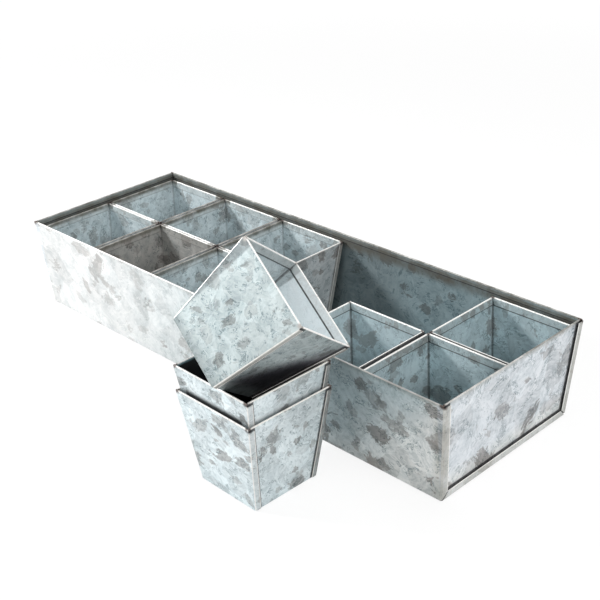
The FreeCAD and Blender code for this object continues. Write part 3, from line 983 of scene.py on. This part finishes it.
def floor_paper(stage):
    """Pale paper that keeps shadows and is seen nearly white, fully so away from the planter."""
    material = bpy.data.materials.new("floor_paper")
    material.use_nodes = True
    material.node_tree.nodes.clear()
    sheet = NodeSheet(material.node_tree)
    paper = sheet.node("ShaderNodeBsdfDiffuse", {"Color": opaque(stage.floor)})
    glow = sheet.node("ShaderNodeEmission", {"Color": WHITE, "Strength": GLOW_STRENGTH})
    away = sheet.size(sheet.node("ShaderNodeTexCoord").outputs["Object"])
    glowing = sheet.between(sheet.step(away, *GLOW_REACH), stage.floor_glow, 1.0)
    seen = sheet.node("ShaderNodeLightPath").outputs["Is Camera Ray"]
    blend = sheet.node("ShaderNodeMixShader", {
        0: sheet.times(seen, glowing), 1: paper.outputs[0], 2: glow.outputs[0]})
    sheet.node("ShaderNodeOutputMaterial", {"Surface": blend.outputs[0]})
    return material


def paint_sky(world, strength):
    """Plain light from all round, seen white straight on and in reflections."""
    world.use_nodes = True
    world.node_tree.nodes.clear()
    sheet = NodeSheet(world.node_tree)
    path = sheet.node("ShaderNodeLightPath").outputs
    seen = sheet.larger(path["Is Camera Ray"], sheet.larger(
        path["Is Glossy Ray"], path["Is Transmission Ray"]))
    sky = sheet.node("ShaderNodeBackground", {
        "Color": WHITE, "Strength": sheet.between(seen, strength, 1.0)})
    sheet.node("ShaderNodeOutputWorld", {"Surface": sky.outputs[0]})


class PLANTER_OT_stage(bpy.types.Operator):
    """Build the floor, the sky and the lamps"""

    bl_idname = "planter.stage"
    bl_label = "Build Stage"

    def execute(self, context):
        stage = context.scene.planter_stage
        bpy.ops.object.select_all(action="DESELECT")
        bpy.ops.mesh.primitive_plane_add(size=stage.floor_size, location=(0.0, 0.0, -FLOOR_DROP))
        floor = context.active_object
        floor.name = "floor"
        floor.data.materials.append(floor_paper(stage))

        world = context.scene.world or bpy.data.worlds.new("planter_sky")
        context.scene.world = world
        paint_sky(world, stage.sky)
        area_lamp("key_lamp", stage.key_place, PLANTER_MIDDLE, KEY_SIZE, stage.key_power, WARM)
        area_lamp("fill_lamp", stage.fill_place, FAR_POTS, FILL_SIZE, stage.fill_power, PLAIN)
        area_lamp("top_lamp", stage.top_place, PLANTER_MIDDLE, TOP_SIZE, stage.top_power, PLAIN)
        return {"FINISHED"}


class PLANTER_OT_camera(bpy.types.Operator):
    """Stand the camera at the picture's viewpoint"""

    bl_idname = "planter.camera"
    bl_label = "Place Camera"

    def execute(self, context):
        stage = context.scene.planter_stage
        data = bpy.data.cameras.new("planter_camera")
        data.lens = stage.lens
        data.sensor_width = SENSOR_WIDTH
        data.clip_start = NEAREST_SEEN
        camera = bpy.data.objects.new("planter_camera", data)
        context.scene.collection.objects.link(camera)
        camera.location = stage.camera_place
        camera.rotation_euler = stage.camera_turn
        context.scene.camera = camera
        context.scene.view_settings.view_transform = "Standard"
        return {"FINISHED"}


OPERATORS = (PLANTER_OT_tray, PLANTER_OT_bay_pots, PLANTER_OT_stack,
             PLANTER_OT_stage, PLANTER_OT_camera)
GROUPS = (("planter_finish", PlanterFinish), ("tray_finish", TrayFinish),
          ("bay_finish", BayFinish), ("stack_finish", StackFinish),
          ("tilted_finish", TiltedFinish), ("planter_sizes", PlanterSizes),
          ("planter_stage", PlanterStage))


class PLANTER_PT_panel(bpy.types.Panel):
    """Settings and steps of the herb planter"""

    bl_label = "Herb Planter"
    bl_idname = "PLANTER_PT_panel"
    bl_space_type = "VIEW_3D"
    bl_region_type = "UI"
    bl_category = "Herb Planter"

    def draw(self, context):
        layout = self.layout
        for attribute, group in GROUPS:
            box = layout.box()
            box.label(text=group.__doc__)
            for name in group.__annotations__:
                box.prop(getattr(context.scene, attribute), name)
        for operator in OPERATORS:
            layout.operator(operator.bl_idname)


def register():
    """Make the settings, the steps and the panel known."""
    for attribute, group in GROUPS:
        bpy.utils.register_class(group)
        setattr(bpy.types.Scene, attribute, bpy.props.PointerProperty(type=group))
    for operator in OPERATORS:
        bpy.utils.register_class(operator)
    bpy.utils.register_class(PLANTER_PT_panel)


def unregister():
    """Take them all away again."""
    bpy.utils.unregister_class(PLANTER_PT_panel)
    for operator in reversed(OPERATORS):
        bpy.utils.unregister_class(operator)
    for attribute, group in reversed(GROUPS):
        delattr(bpy.types.Scene, attribute)
        bpy.utils.unregister_class(group)


def main():
    """Dress the planter, set the stage and place the camera."""
    register()
    bpy.ops.planter.tray()
    bpy.ops.planter.bay_pots()
    bpy.ops.planter.stack()
    bpy.ops.planter.stage()
    bpy.ops.planter.camera()


if __name__ == "__main__":
    main()
